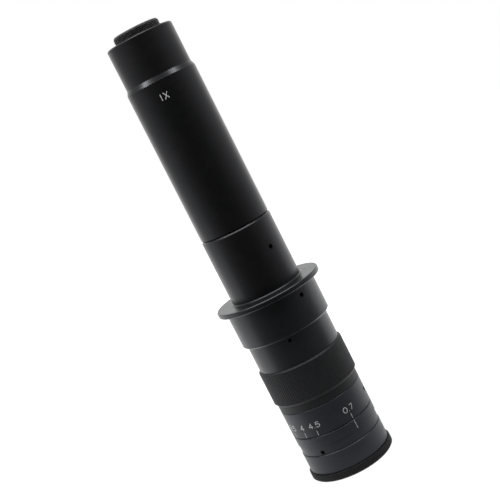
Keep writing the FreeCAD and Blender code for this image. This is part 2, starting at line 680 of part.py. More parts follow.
# Zoom ring: knurled grip, skirt and the thin sleeve that carries the scale ring
zoom_ring = turned("zoom_ring", [
    (CAM_RADIUS, Z_SCALE),
    (SLEEVE_RADIUS, Z_SCALE),
    (SLEEVE_RADIUS, Z_SKIRT),
    (f"{SCALE_RADIUS} - Dim.fine_chamfer", Z_SKIRT),
    (SCALE_RADIUS, f"{Z_SKIRT} + Dim.fine_chamfer"),
    (SCALE_RADIUS, Z_GRIP),
    (GRIP_RADIUS, f"{Z_GRIP} + Dim.grip_chamfer"),
    (GRIP_RADIUS, f"{Z_GRIP_TOP} - Dim.edge_chamfer"),
    (f"{GRIP_RADIUS} - Dim.edge_chamfer", Z_GRIP_TOP),
    (CAM_RADIUS, Z_GRIP_TOP),
])
knurl(zoom_ring, "zoom_ring", GRIP_RADIUS)
screw_holes(zoom_ring, "sleeve_hole", SLEEVE_SCREW, "Dim.small_screw_radius", "Dim.screws_in_ring",
            "Dim.sleeve_screw_angle")
set_screws("zoom_ring_screws", SLEEVE_SCREW, "Dim.small_screw_radius",
           f"{CAM_RADIUS} - Dim.sleeve_screw_bite", SLEEVE_RADIUS,
           "Dim.screw_recess", "Dim.screws_in_ring", "Dim.sleeve_screw_angle")

# Scale ring: clamped on the zoom ring's sleeve by two set screws
scale_ring = turned("scale_ring", [
    (SLEEVE_RADIUS, Z_SCALE),
    (f"{SCALE_RADIUS} - Dim.fine_chamfer", Z_SCALE),
    (SCALE_RADIUS, f"{Z_SCALE} + Dim.fine_chamfer"),
    (SCALE_RADIUS, f"{Z_SKIRT} - Dim.fine_chamfer"),
    (f"{SCALE_RADIUS} - Dim.fine_chamfer", Z_SKIRT),
    (SLEEVE_RADIUS, Z_SKIRT),
])
SCALE_SCREW = f"{Z_SCALE} + Dim.scale_screw_height"
screw_holes(scale_ring, "scale_screw_hole", SCALE_SCREW, "Dim.screw_radius", "Dim.screws_in_scale_ring")
turn_body(scale_ring, "Dim.scale_screw_angle")
set_screws("scale_ring_screws", SCALE_SCREW, "Dim.screw_radius", SLEEVE_RADIUS,
           SCALE_RADIUS, "Dim.screw_recess", "Dim.screws_in_scale_ring", "Dim.scale_screw_angle")

# Variator group: the negative group that slides with the first cam
CELL_OUTER = f"{GUIDE_BORE} - Dim.running_fit"
CELL_RIM = f"{CELL_GLASS} - Dim.glass_fit"
CELL_CLEAR = f"{CELL_LIGHT} - Dim.glass_fit"
Z_VARIATOR = f"{VARIATOR} - Dim.variator_length / 2"
Z_VARIATOR_FLINT = f"{Z_VARIATOR} + Dim.cell_lip"
Z_VARIATOR_CROWN = f"{Z_VARIATOR_FLINT} + Dim.variator_flint_edge + Dim.cement_gap"
Z_VARIATOR_RING = f"{Z_VARIATOR_CROWN} + Dim.variator_crown_edge"
variator_cell = lens_cell("variator_cell", CELL_OUTER, Z_VARIATOR, "Dim.variator_length",
                          CELL_GLASS, CELL_LIGHT)
stud_hole(variator_cell, "variator_stud_hole", VARIATOR, True)
VARIATOR_CEMENTED = cell_bend("Dim.variator_cemented")
VARIATOR_FRONT = cell_bend("Dim.variator_flint_front")
VARIATOR_BACK = cell_bend("Dim.variator_crown_back")
lens("variator_flint", CELL_RIM, CELL_CLEAR, Z_VARIATOR_FLINT,
     f"{Z_VARIATOR_CROWN} - Dim.cement_gap", f"-{VARIATOR_FRONT}", f"-{VARIATOR_CEMENTED}")
lens("variator_crown", CELL_RIM, CELL_CLEAR, Z_VARIATOR_CROWN, Z_VARIATOR_RING,
     VARIATOR_CEMENTED, f"-{VARIATOR_BACK}")
tube("variator_retaining_ring", CELL_LIGHT, CELL_GLASS, Z_VARIATOR_RING,
     f"{Z_VARIATOR_RING} + Dim.retainer_length")
follower("variator_follower", VARIATOR, True)

# Compensator group: the positive group that slides with the second cam
Z_COMPENSATOR = f"{COMPENSATOR} - Dim.compensator_length / 2"
Z_COMPENSATOR_CROWN = f"{Z_COMPENSATOR} + Dim.cell_lip"
Z_COMPENSATOR_FLINT = f"{Z_COMPENSATOR_CROWN} + Dim.compensator_crown_edge + Dim.cement_gap"
Z_COMPENSATOR_RING = f"{Z_COMPENSATOR_FLINT} + Dim.compensator_flint_edge"
compensator_cell = lens_cell("compensator_cell", CELL_OUTER, Z_COMPENSATOR, "Dim.compensator_length",
                             CELL_GLASS, CELL_LIGHT)
stud_hole(compensator_cell, "compensator_stud_hole", COMPENSATOR, False)
COMPENSATOR_FRONT = cell_bend("Dim.compensator_crown_front")
COMPENSATOR_CEMENTED = cell_bend("Dim.compensator_cemented")
COMPENSATOR_BACK = cell_bend("Dim.compensator_flint_back")
lens("compensator_crown", CELL_RIM, CELL_CLEAR, Z_COMPENSATOR_CROWN,
     f"{Z_COMPENSATOR_FLINT} - Dim.cement_gap", COMPENSATOR_FRONT, COMPENSATOR_CEMENTED)
lens("compensator_flint", CELL_RIM, CELL_CLEAR, Z_COMPENSATOR_FLINT, Z_COMPENSATOR_RING,
     f"-{COMPENSATOR_CEMENTED}", COMPENSATOR_BACK)
tube("compensator_retaining_ring", CELL_LIGHT, CELL_GLASS, Z_COMPENSATOR_RING,
     f"{Z_COMPENSATOR_RING} + Dim.retainer_length")
follower("compensator_follower", COMPENSATOR, False)

# Main body: holds the guide barrel below and the rear cell above, inside its long spigot
main_body = turned("main_body", [
    (GUIDE_RADIUS, Z_BODY),
    ("Dim.body_radius - Dim.fine_chamfer", Z_BODY),
    ("Dim.body_radius", f"{Z_BODY} + Dim.fine_chamfer"),
    ("Dim.body_radius", f"{Z_COLLAR} - Dim.fine_chamfer"),
    ("Dim.body_radius - Dim.fine_chamfer", Z_COLLAR),
    (SPIGOT_RADIUS, Z_COLLAR),
    (SPIGOT_RADIUS, Z_SPIGOT),
    (REAR_BORE, Z_SPIGOT),
    (REAR_BORE, Z_REAR),
    (BODY_LIGHT, Z_REAR),
    (BODY_LIGHT, Z_COLLAR),
    (GUIDE_RADIUS, Z_COLLAR),
])
BODY_SCREW = f"{Z_BODY} + Dim.body_screw_height"
screw_holes(main_body, "body_screw_hole", BODY_SCREW, "Dim.small_screw_radius", "Dim.screws_in_ring")
turn_body(main_body, "Dim.body_screw_angle")
set_screws("main_body_screws", BODY_SCREW, "Dim.small_screw_radius", GUIDE_RADIUS,
           "Dim.body_radius", "Dim.deep_screw_recess", "Dim.screws_in_ring", "Dim.body_screw_angle")

# Rear fixed group and the stop, clamped between the body's shoulder and the coupling tube
REAR_RIM = f"{REAR_GLASS} - Dim.glass_fit"
REAR_CLEAR = f"{REAR_LIGHT} - Dim.glass_fit"
Z_REAR_CROWN = f"{Z_REAR} + Dim.cell_lip"
Z_REAR_FLINT = f"{Z_REAR_CROWN} + Dim.rear_crown_edge + Dim.cement_gap"
Z_REAR_RING = f"{Z_REAR_FLINT} + Dim.rear_flint_edge"
lens_cell("rear_cell", REAR_BORE, Z_REAR, "Dim.rear_cell_length",
          REAR_GLASS, REAR_LIGHT)
lens("rear_crown", REAR_RIM, REAR_CLEAR, Z_REAR_CROWN, f"{Z_REAR_FLINT} - Dim.cement_gap",
     "Dim.rear_crown_front", "Dim.rear_cemented")
lens("rear_flint", REAR_RIM, REAR_CLEAR, Z_REAR_FLINT, Z_REAR_RING,
     "-Dim.rear_cemented", "Dim.rear_flint_back")
tube("rear_retaining_ring", REAR_LIGHT, REAR_GLASS, Z_REAR_RING,
     f"{Z_REAR_RING} + Dim.retainer_length")
tube("aperture_stop", "Dim.stop_radius", REAR_BORE, Z_STOP, Z_COUPLING_FOOT)

# Mounting collar: the 50 mm barrel that a stand's ring holds, with its flange in one piece
mounting_collar = turned("mounting_collar", [
    (SPIGOT_RADIUS, Z_COLLAR),
    (f"{COLLAR_RADIUS} - Dim.collar_chamfer", Z_COLLAR),
    (COLLAR_RADIUS, f"{Z_COLLAR} + Dim.collar_chamfer"),
    (COLLAR_RADIUS, Z_FLANGE),
    ("Dim.flange_radius - Dim.flange_chamfer", Z_FLANGE),
    ("Dim.flange_radius", f"{Z_FLANGE} + Dim.flange_chamfer"),
    ("Dim.flange_radius", f"{Z_COUPLING} - Dim.flange_chamfer"),
    ("Dim.flange_radius - Dim.flange_chamfer", Z_COUPLING),
    (REAR_BORE, Z_COUPLING),
    (REAR_BORE, Z_SPIGOT),
    (SPIGOT_RADIUS, Z_SPIGOT),
])
COLLAR_SCREW = f"{Z_COLLAR} + Dim.collar_screw_height"
screw_holes(mounting_collar, "collar_screw_hole", COLLAR_SCREW, "Dim.screw_radius", "Dim.screws_in_ring")
turn_body(mounting_collar, "Dim.collar_screw_angle")
set_screws("mounting_collar_screws", COLLAR_SCREW, "Dim.screw_radius", SPIGOT_RADIUS,
           COLLAR_RADIUS, "Dim.deep_screw_recess", "Dim.screws_in_ring", "Dim.collar_screw_angle")

# Coupling tube: screws into the main body through the collar and clamps the main tube
coupling_tube = turned("coupling_tube", [
    (COUPLING_BORE, Z_COUPLING_FOOT),
    (REAR_BORE, Z_COUPLING_FOOT),
    (REAR_BORE, Z_COUPLING),
    (f"{COUPLING_RADIUS} - Dim.fine_chamfer", Z_COUPLING),
    (COUPLING_RADIUS, f"{Z_COUPLING} + Dim.fine_chamfer"),
    (COUPLING_RADIUS, f"{Z_TUBE} - Dim.edge_chamfer"),
    (f"{COUPLING_RADIUS} - Dim.edge_chamfer", Z_TUBE),
    (TUBE_SPIGOT_RADIUS, Z_TUBE),
    (TUBE_SPIGOT_RADIUS, Z_TUBE_FOOT),
    (COUPLING_BORE, Z_TUBE_FOOT),
])
COUPLING_SCREW = f"{Z_TUBE_FOOT} + Dim.coupling_screw_height"
screw_holes(coupling_tube, "coupling_screw_hole", COUPLING_SCREW, "Dim.screw_radius", "Dim.screws_in_ring")
turn_body(coupling_tube, "Dim.coupling_screw_angle")
set_screws("coupling_tube_screws", COUPLING_SCREW, "Dim.screw_radius", TUBE_SPIGOT_RADIUS,
           COUPLING_RADIUS, "Dim.deep_screw_recess", "Dim.screws_in_ring", "Dim.coupling_screw_angle")

# Main tube: spigot in the coupling tube, seat for the tube lens cell, socket for the camera tube
turned("main_tube", [
    (TUBE_LIGHT, Z_TUBE_FOOT),
    (TUBE_SPIGOT_RADIUS, Z_TUBE_FOOT),
    (TUBE_SPIGOT_RADIUS, f"{Z_TUBE} + Dim.parfocal_gap"),
    (f"{MAIN_TUBE_RADIUS} - Dim.fine_chamfer", f"{Z_TUBE} + Dim.parfocal_gap"),
    (MAIN_TUBE_RADIUS, f"{Z_TUBE} + Dim.parfocal_gap + Dim.fine_chamfer"),
    (MAIN_TUBE_RADIUS, Z_CONE),
    (CAMERA_TUBE_RADIUS, Z_CAMERA),
    (CAMERA_SPIGOT_RADIUS, Z_CAMERA),
    (CAMERA_SPIGOT_RADIUS, Z_CAMERA_FOOT),
    (TUBE_BORE, Z_CAMERA_FOOT),
    (TUBE_BORE, Z_TUBE_CELL),
    (TUBE_LIGHT, Z_TUBE_CELL),
])

# Tube lens group: a cemented doublet in its cell, held down by a lock ring
TUBE_RIM = f"{TUBE_GLASS} - Dim.glass_fit"
TUBE_CLEAR = f"{TUBE_CELL_LIGHT} - Dim.glass_fit"
Z_TUBE_CROWN = f"{Z_TUBE_CELL} + Dim.cell_lip"
Z_TUBE_FLINT = f"{Z_TUBE_CROWN} + Dim.tube_crown_edge + Dim.cement_gap"
Z_TUBE_RING = f"{Z_TUBE_FLINT} + Dim.tube_flint_edge"
Z_LOCK_RING = f"{Z_TUBE_CELL} + Dim.tube_cell_length"
lens_cell("tube_lens_cell", TUBE_BORE, Z_TUBE_CELL, "Dim.tube_cell_length",
          TUBE_GLASS, TUBE_CELL_LIGHT)
lens("tube_lens_crown", TUBE_RIM, TUBE_CLEAR, Z_TUBE_CROWN, f"{Z_TUBE_FLINT} - Dim.cement_gap",
     "Dim.tube_crown_front", "Dim.tube_cemented")
lens("tube_lens_flint", TUBE_RIM, TUBE_CLEAR, Z_TUBE_FLINT, Z_TUBE_RING,
     "-Dim.tube_cemented", "Dim.tube_flint_back")
tube("tube_lens_retaining_ring", TUBE_CELL_LIGHT, TUBE_GLASS, Z_TUBE_RING,
     f"{Z_TUBE_RING} + Dim.retainer_length")
tube("tube_lens_lock_ring", TUBE_GLASS, TUBE_BORE, Z_LOCK_RING,
     f"{Z_LOCK_RING} + Dim.lock_ring_length")

# Camera tube: screws into the main tube and ends in the male camera thread
turned("camera_tube", [
    (CAMERA_BORE, Z_CAMERA_FOOT),
    (CAMERA_SPIGOT_RADIUS, Z_CAMERA_FOOT),
    (CAMERA_SPIGOT_RADIUS, Z_CAMERA),
    (CAMERA_TUBE_RADIUS, Z_CAMERA),
    (CAMERA_TUBE_RADIUS, f"{Z_THREAD} - Dim.fine_chamfer"),
    (f"{CAMERA_TUBE_RADIUS} - Dim.fine_chamfer", Z_THREAD),
    ("Dim.thread_radius", Z_THREAD),
    ("Dim.thread_radius", f"{Z_TOP} - Dim.thread_chamfer"),
    ("Dim.thread_radius - Dim.thread_chamfer", Z_TOP),
    (THREAD_BORE, Z_TOP),
    (THREAD_BORE, f"{Z_THREAD} - Dim.camera_wall"),
    (CAMERA_BORE, f"{Z_THREAD} - Dim.camera_wall"),
])

# Every object must be sound before any piece is written
doc.recompute()
for item in doc.Objects:
    if "Invalid" in item.State or "Error" in item.State:
        raise RuntimeError(f"{item.Label} failed")
for node in nodes:
    if node.Shape.isNull() or not node.Shape.isValid():
        raise RuntimeError(f"{node.Label} has no valid shape")
for node in nodes:
    node.Shape.exportStep(f"parts/{node.Label}.step")
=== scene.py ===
import bpy
import numpy as np
from mathutils import Matrix, Vector


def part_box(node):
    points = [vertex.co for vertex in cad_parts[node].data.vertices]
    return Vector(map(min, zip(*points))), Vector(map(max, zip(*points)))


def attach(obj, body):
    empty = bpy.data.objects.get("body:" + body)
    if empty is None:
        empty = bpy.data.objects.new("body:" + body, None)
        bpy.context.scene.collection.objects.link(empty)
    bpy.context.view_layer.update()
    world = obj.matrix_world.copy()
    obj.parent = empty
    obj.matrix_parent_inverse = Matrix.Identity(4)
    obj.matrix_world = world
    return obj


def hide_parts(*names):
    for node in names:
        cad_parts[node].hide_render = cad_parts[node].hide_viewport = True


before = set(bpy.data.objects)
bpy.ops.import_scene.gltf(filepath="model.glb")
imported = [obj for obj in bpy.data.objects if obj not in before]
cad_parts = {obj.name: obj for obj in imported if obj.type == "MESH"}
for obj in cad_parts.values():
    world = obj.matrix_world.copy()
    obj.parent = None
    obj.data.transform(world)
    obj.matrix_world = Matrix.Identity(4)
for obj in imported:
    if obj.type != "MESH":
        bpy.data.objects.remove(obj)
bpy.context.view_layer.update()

# Front barrel and index ring: aluminium turned on a lathe, bead blasted and
# anodised dark grey. The barrel carries the objective and the filter thread.


class Wire:
    """A socket in a finish. Sums on it add Math nodes, and node() adds any other node."""

    def __init__(self, tree, socket=None):
        self.tree = tree
        self.socket = socket

    def node(self, kind, settings=(), sockets=(), out=0):
        """Adds a node: its settings first, then its sockets' values or links. Gives one output."""
        made = self.tree.nodes.new(kind)
        for name, value in dict(settings).items():
            setattr(made, name, value)
        for name, value in dict(sockets).items():
            if isinstance(value, Wire):
                self.tree.links.new(value.socket, made.inputs[name])
            else:
                made.inputs[name].default_value = value
        return Wire(self.tree, made.outputs[out]) if made.outputs else None

    def sum(self, operation, first, second):
        """One Math node on two wires, or on a wire and a number."""
        return self.node("ShaderNodeMath", {"operation": operation}, {0: first, 1: second})

    def __add__(self, other):
        return self.sum("ADD", self, other)

    def __radd__(self, other):
        return self.sum("ADD", other, self)

    def __sub__(self, other):
        return self.sum("SUBTRACT", self, other)

    def __rsub__(self, other):
        return self.sum("SUBTRACT", other, self)

    def __mul__(self, other):
        return self.sum("MULTIPLY", self, other)

    def __rmul__(self, other):
        return self.sum("MULTIPLY", other, self)


def new_finish(name):
    """An empty material and the wire that its nodes start from."""
    finish = bpy.data.materials.new(name)
    finish.use_nodes = True
    finish.node_tree.nodes.clear()
    return finish, Wire(finish.node_tree)


def lathe_wires(start):
    """Object coordinates, and the same as radius and height, which a lathe's marks follow."""
    place = start.node("ShaderNodeTexCoord", out="Object")
    flat = start.node("ShaderNodeVectorMath", {"operation": "MULTIPLY"}, {0: place, 1: (1, 1, 0)})
    radius = start.node("ShaderNodeVectorMath", {"operation": "LENGTH"}, {0: flat}, out="Value")
    height = start.node("ShaderNodeSeparateXYZ", sockets={0: place}, out="Z")
    lathe = start.node("ShaderNodeCombineXYZ", sockets={"X": radius, "Y": height})
    return place, lathe


def noise(start, place, scale, detail=2.0, dimensions="3D"):
    """Smooth noise from 0 to 1, with its grains about 1/scale metres wide."""
    return start.node("ShaderNodeTexNoise", {"noise_dimensions": dimensions},
                      {"Vector": place, "Scale": scale, "Detail": detail})


def blend(start, share, first, second):
    """A colour that goes from the first to the second as the share goes from 0 to 1."""
    ends = [end if isinstance(end, Wire) else (*end, 1) for end in (first, second)]
    return start.node("ShaderNodeMix", {"data_type": "RGBA"},
                      {0: share, 6: ends[0], 7: ends[1]}, out=2)


def relief(start, height, strength=1.0, depth=0.00001):
    """A fine bump, as deep in metres as a height of 1."""
    return start.node("ShaderNodeBump", sockets={
        "Strength": strength, "Distance": depth, "Height": height})


def coat(finish, start, sockets):
    """Ends a finish with its shader, from what goes into the shader's sockets."""
    surface = start.node("ShaderNodeBsdfPrincipled", sockets=sockets)
    start.node("ShaderNodeOutputMaterial", sockets={"Surface": surface})
    return finish


def anodised(name, dye, worn, roughness, blast, marks, tint=(0.93, 0.94, 1.0), thread=None):
    """Anodised aluminium: the dye thins a little in patches, the blasting and the tool marks
    give a fine bump, and the sheen changes slightly from patch to patch and band to band.

    The tint is the oxide's, on what it mirrors. Above the height of a thread, in metres, the
    dye is rubbed by what is screwed on.
    """
    finish, start = new_finish(name)
    place, lathe = lathe_wires(start)
    patches = noise(start, place, 160, 4)
    bands = noise(start, lathe, 420, 3, "2D")
    turning = noise(start, lathe, 5200, 2, "2D")
    grains = noise(start, place, 7000, 1)
    thin = start.node("ShaderNodeMapRange", sockets={0: patches, 1: 0.35, 2: 0.75})
    colour = blend(start, thin, dye, worn)
    sheen = roughness + 0.07 * (patches - 0.5) + 0.05 * (bands - 0.5) + 0.05 * (grains - 0.5)
    if thread:
        height = start.node("ShaderNodeSeparateXYZ", sockets={0: place}, out="Z")
        above = start.node("ShaderNodeMapRange", sockets={0: height, 1: thread, 2: thread + 0.0004})
        rubbed = above * (0.7 + 0.6 * (patches - 0.5))
        colour = blend(start, rubbed, colour, (0.054, 0.050, 0.051))
        sheen = sheen + 0.15 * above
    return coat(finish, start, {
        "Base Color": colour, "Roughness": sheen, "IOR": 1.55, "Specular Tint": (*tint, 1),
        "Normal": relief(start, blast * grains + marks * turning)})


def dress(finish, *nodes):
    """Gives CAD nodes their finish."""
    for node in nodes:
        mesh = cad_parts[node].data
        mesh.materials.clear()
        mesh.materials.append(finish)


grey_anodised = anodised("grey_anodised", (0.0098, 0.0110, 0.0142), (0.0145, 0.016, 0.019),
                         roughness=0.44, blast=0.6, marks=0.5, tint=(0.88, 0.90, 1.0))
dress(grey_anodised, "front_barrel", "index_ring")

# Front ring: a knurled ring that screws over the barrel's nose. The lens stands
# on it. Its black dye is deeper than the barrel's, and its knurl is cut crisp.

ring_black = anodised("ring_black", (0.0030, 0.0030, 0.0033), (0.0050, 0.0050, 0.0055),
                      roughness=0.62, blast=0.5, marks=0.3, tint=(0.50, 0.50, 0.53))
dress(ring_black, "front_ring")

# Marks on the rings: cut by a round cutter that follows the middle of each
# stroke, and filled with pale paint. The index line is on the fixed ring.


def stroke_ribbon(path, width, radius, angle, height):
    """One painted stroke on a cylinder, as a grid of points and its quads.

    The path's points, across and up, are spread evenly along it and carried half a width past
    both ends. The ribbon is as wide as the cutter, and narrows over its ends as a half circle
    does. Across it the paint rises from just under the metal to just over it, as a parabola.
    Across turns about the axis by its length over the radius.
    """
    sunk, proud, spacing, end_points, columns = 0.015, 0.02, 0.12, 7, 7
    path = np.asarray(path, float)
    first = path[0] - path[1]
    last = path[-1] - path[-2]
    path = np.vstack([path[0] + first / np.hypot(*first) * width / 2, path,
                      path[-1] + last / np.hypot(*last) * width / 2])
    run = np.concatenate([[0], np.cumsum(np.hypot(*np.diff(path, axis=0).T))])
    ends = width / 2 * (1 - np.cos(np.linspace(0, np.pi / 2, end_points)))
    steps = max(3, int((run[-1] - width) / spacing))
    along = np.concatenate([ends, np.linspace(width / 2, run[-1] - width / 2, steps)[1:-1],
                            run[-1] - ends[::-1]])
    middle = np.stack([np.interp(along, run, path[:, 0]), np.interp(along, run, path[:, 1])], 1)
    heading = np.gradient(middle, along, axis=0)
    heading /= np.hypot(*heading.T)[:, None]
    side = np.stack([-heading[:, 1], heading[:, 0]], 1)
    inside = np.minimum(np.minimum(along, run[-1] - along), width / 2)
    half = np.sqrt(np.maximum(width * width / 4 - (width / 2 - inside) ** 2, 1e-8))
    across = np.linspace(-1, 1, columns)
    flat = middle[:, None, :] + side[:, None, :] * (half[:, None] * across)[..., None]
    lift = proud - (proud + sunk) * np.broadcast_to(across ** 2, flat.shape[:2])
    turn = np.radians(angle) + flat[..., 0] / radius
    points = np.stack([(radius + lift) * np.sin(turn), -(radius + lift) * np.cos(turn),
                       height + flat[..., 1]], -1)
    index = np.arange(along.size * columns).reshape(along.size, columns)
    quads = np.stack([index[:-1, :-1], index[:-1, 1:], index[1:, 1:], index[1:, :-1]], -1)
    return points.reshape(-1, 3) / 1000, quads.reshape(-1, 4)


def new_piece(name, surfaces, finish, body):
    """One object from several grids of points in metres and their quads, riding on a body."""
    starts = np.cumsum([0] + [len(points) for points, quads in surfaces])
    corners = np.vstack([points for points, quads in surfaces])
    faces = np.vstack([quads + start for start, (points, quads) in zip(starts, surfaces)])
    mesh = bpy.data.meshes.new(name)
    mesh.from_pydata(corners.tolist(), [], faces.tolist())
    mesh.polygons.foreach_set("use_smooth", np.ones(len(mesh.polygons), bool))
    mesh.set_sharp_from_angle(angle=np.radians(35))
    mesh.materials.append(finish)
    piece = bpy.data.objects.new(name, mesh)
    bpy.context.scene.collection.objects.link(piece)
    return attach(piece, body)


def pale_paint(name, colour):
    """Engraving paint, wiped level by hand: slightly uneven in tone, and matt."""
    finish, start = new_finish(name)
    place = start.node("ShaderNodeTexCoord", out="Object")
    wiped = noise(start, place, 2600, 3)
    dulled = tuple(0.72 * channel for channel in colour)
    return coat(finish, start, {
        "Base Color": blend(start, wiped, dulled, colour), "Roughness": 0.55 + 0.2 * wiped,
        "Normal": relief(start, wiped, strength=0.5)})


def line(*ends):
    """A straight stroke from one end to the other."""
    return np.linspace(*np.array(ends, float), 9)


def bow(centre, radii, start, stop):
    """Part of an ellipse about a centre, from one angle to another in degrees."""
    sweep = np.radians(np.linspace(start, stop, 41))
    return np.array(centre) + np.array(radii) * np.stack([np.cos(sweep), np.sin(sweep)], 1)


# A figure's strokes lie in a box 0.8 wide and 1 high, from its lower left corner
FIGURE_MIDDLE = 0.4
FIGURES = {
    "0": [bow((0.4, 0.5), (0.4, 0.5), 90, 450)],
    "1": [line((0.4, 0), (0.4, 1))],
    "2": [np.vstack([bow((0.4, 0.7), (0.34, 0.3), 170, -30), line((0.68, 0.52), (0.05, 0.0))[1:]]),
          line((0.05, 0), (0.76, 0))],
    "3": [bow((0.38, 0.75), (0.31, 0.25), 150, -90), bow((0.38, 0.26), (0.36, 0.26), 90, -150)],
    "4": [line((0.54, 0), (0.54, 1)), line((0.54, 1), (0.02, 0.3)), line((0.02, 0.3), (0.78, 0.3))],
    "5": [line((0.68, 1), (0.14, 1)), line((0.14, 1), (0.09, 0.55)),
          bow((0.38, 0.32), (0.37, 0.32), 140, -145)],
    "7": [line((0.12, 1), (0.69, 1)), line((0.69, 1), (0.31, 0))],
    ".": [line((0.395, 0), (0.405, 0))],
    "X": [line((0.07, 0), (0.73, 1)), line((0.07, 1), (0.73, 0))],
}


def figures(text, places, size, width, radius, angle, height):
    """The strokes of a short text. Places are the middles of its figures, across from the angle."""
    surfaces = []
    for figure, middle in zip(text, places):
        for stroke in FIGURES[figure]:
            path = (stroke - (FIGURE_MIDDLE, 0)) * size + (middle, 0)
            surfaces.append(stroke_ribbon(path, width, radius, angle, height))
    return surfaces


scale_paint = pale_paint("scale_paint", (0.76, 0.78, 0.78))
first_angle = 24.9
index_foot, index_top, index_width = 5.72, 10.23, 0.34
low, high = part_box("index_ring")
index_line = stroke_ribbon(line((0, index_foot), (0, index_top)), index_width,
                           high.x * 1000, first_angle, low.z * 1000)
new_piece("index_line", [index_line], scale_paint, "lens")

# Objective: three lens elements, a spacer and a retaining ring, loaded into the
# barrel from the front. The glass is coated, and the rings are blackened.


def coated_glass():
    """Polished glass with a thin coating that tints its reflections."""
    finish, start = new_finish("coated_glass")
    place = start.node("ShaderNodeTexCoord", out="Object")
    dust = noise(start, place, 5000, 2)
    settled = start.node("ShaderNodeMapRange", sockets={0: dust, 1: 0.55, 2: 0.9, 3: 0.01, 4: 0.05})
    return coat(finish, start, {
        "Base Color": (0.93, 0.97, 0.96, 1), "Roughness": settled, "IOR": 1.6,
        "Transmission Weight": 1.0, "Thin Film Thickness": 210.0, "Thin Film IOR": 1.38})


def matt_black():
    """Turned aluminium dulled with black paint inside, so that it reflects no stray light."""
    finish, start = new_finish("matt_black")
    place, lathe = lathe_wires(start)
    flock = noise(start, place, 4200, 4)
    turning = noise(start, lathe, 2400, 2, "2D")
    return coat(finish, start, {
        "Base Color": blend(start, flock, (0.006, 0.006, 0.006), (0.014, 0.014, 0.015)),
        "Roughness": 0.7 + 0.15 * flock,
        "Normal": relief(start, flock + 0.8 * turning, depth=0.00002)})


clear_glass = coated_glass()
inner_black = matt_black()
dress(clear_glass, "objective_singlet", "objective_flint", "objective_crown")
dress(inner_black, "objective_spacer", "objective_retaining_ring")


def full_turn(steps):
    """Angles once round the axis, without the last, which is the first again."""
    return np.linspace(0, 2 * np.pi, steps + 1)[:-1]


def round_grid(radius, height, turns):
    """A closed grid: the points of a section, carried round the axis through the turns."""
    points = np.stack([radius * np.sin(turns), -radius * np.cos(turns), height], -1)
    index = np.arange(radius.size).reshape(radius.shape)
    right = np.roll(index, -1, 1)
    quads = np.stack([index, right, np.roll(right, -1, 0), np.roll(index, -1, 0)], -1)
    return points.reshape(-1, 3) / 1000, quads.reshape(-1, 4)


def thread_cut(heights, turns, pitch):
    """How deep a thread is cut, from 0 on its crest to 1 at its root.

    It is a trapezium wave of height minus pitch times turn.
    """
    phase = (heights[:, None] - pitch * turns / (2 * np.pi)) / pitch
    wave = np.abs(phase % 1 - 0.5) * 2
    return np.clip((wave - 0.16) / 0.6, 0, 1)


def filter_thread(foot):
    """The thread in the barrel's mouth, 42 mm across with a pitch of 0.75 mm.

    It is a thin sleeve against the bore. Its inner radius is the root's less the thread's depth
    times what the cut leaves.
    """
    root, depth, pitch, length, wall, rows = 20.98, 0.38, 0.75, 3.9, 0.04, 53
    turns = full_turn(192)
    fall = np.linspace(foot + length, foot, rows)
    inner = root - depth * (1 - thread_cut(fall, turns, pitch))
    outer = np.full((2, turns.size), root + wall)
    height = np.concatenate([[foot, foot + length], fall])[:, None] + 0 * turns
    return round_grid(np.vstack([outer, inner]), height, turns)


mouth_chamfer = 0.35
low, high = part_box("front_barrel")
new_piece("filter_thread", [filter_thread(low.z * 1000 + mouth_chamfer)], inner_black, "lens")

# Guide barrel and cam tube: the fixed inner tube with two straight slots, and the
# tube that turns on it with two spiral slots. Both are turned, milled and anodised.

tube_black = anodised("tube_black", (0.0034, 0.0035, 0.0038), (0.0050, 0.0051, 0.0054),
                      roughness=0.33, blast=0.3, marks=0.45)
dress(tube_black, "guide_barrel", "cam_tube")

# Moving groups: each is a turned cell with a cemented pair of lenses, a retaining
# ring and a brass follower that runs in a straight slot and in a spiral one.


def follower_brass():
    """Turned brass, faintly tarnished, with fine rings from the tool."""
    finish, start = new_finish("follower_brass")
    place, lathe = lathe_wires(start)
    tarnish = noise(start, place, 700, 4)
    turning = noise(start, lathe, 6000, 2, "2D")
    return coat(finish, start, {
        "Base Color": blend(start, tarnish, (0.70, 0.47, 0.19), (0.52, 0.33, 0.13)),
        "Metallic": 1.0, "Roughness": 0.22 + 0.2 * tarnish,
        "Normal": relief(start, turning, strength=0.6)})


brass = follower_brass()
for group in ("variator", "compensator"):
    dress(inner_black, f"{group}_cell", f"{group}_retaining_ring")
    dress(clear_glass, f"{group}_flint", f"{group}_crown")
    dress(brass, f"{group}_follower")

# Zoom ring: the knurled grip that turns the cam tube, in one piece with its skirt
# and the sleeve under the scale ring. It is blasted and anodised matt black.

grip_black = anodised("grip_black", (0.0045, 0.0048, 0.0054), (0.0075, 0.008, 0.0088),
                      roughness=0.56, blast=0.5, marks=0.3, tint=(0.84, 0.85, 0.89))
dress(grip_black, "zoom_ring")

# Scale ring: turned and anodised grey, clamped on the zoom ring's sleeve, with the
# magnifications round it on an even scale of their logarithms.

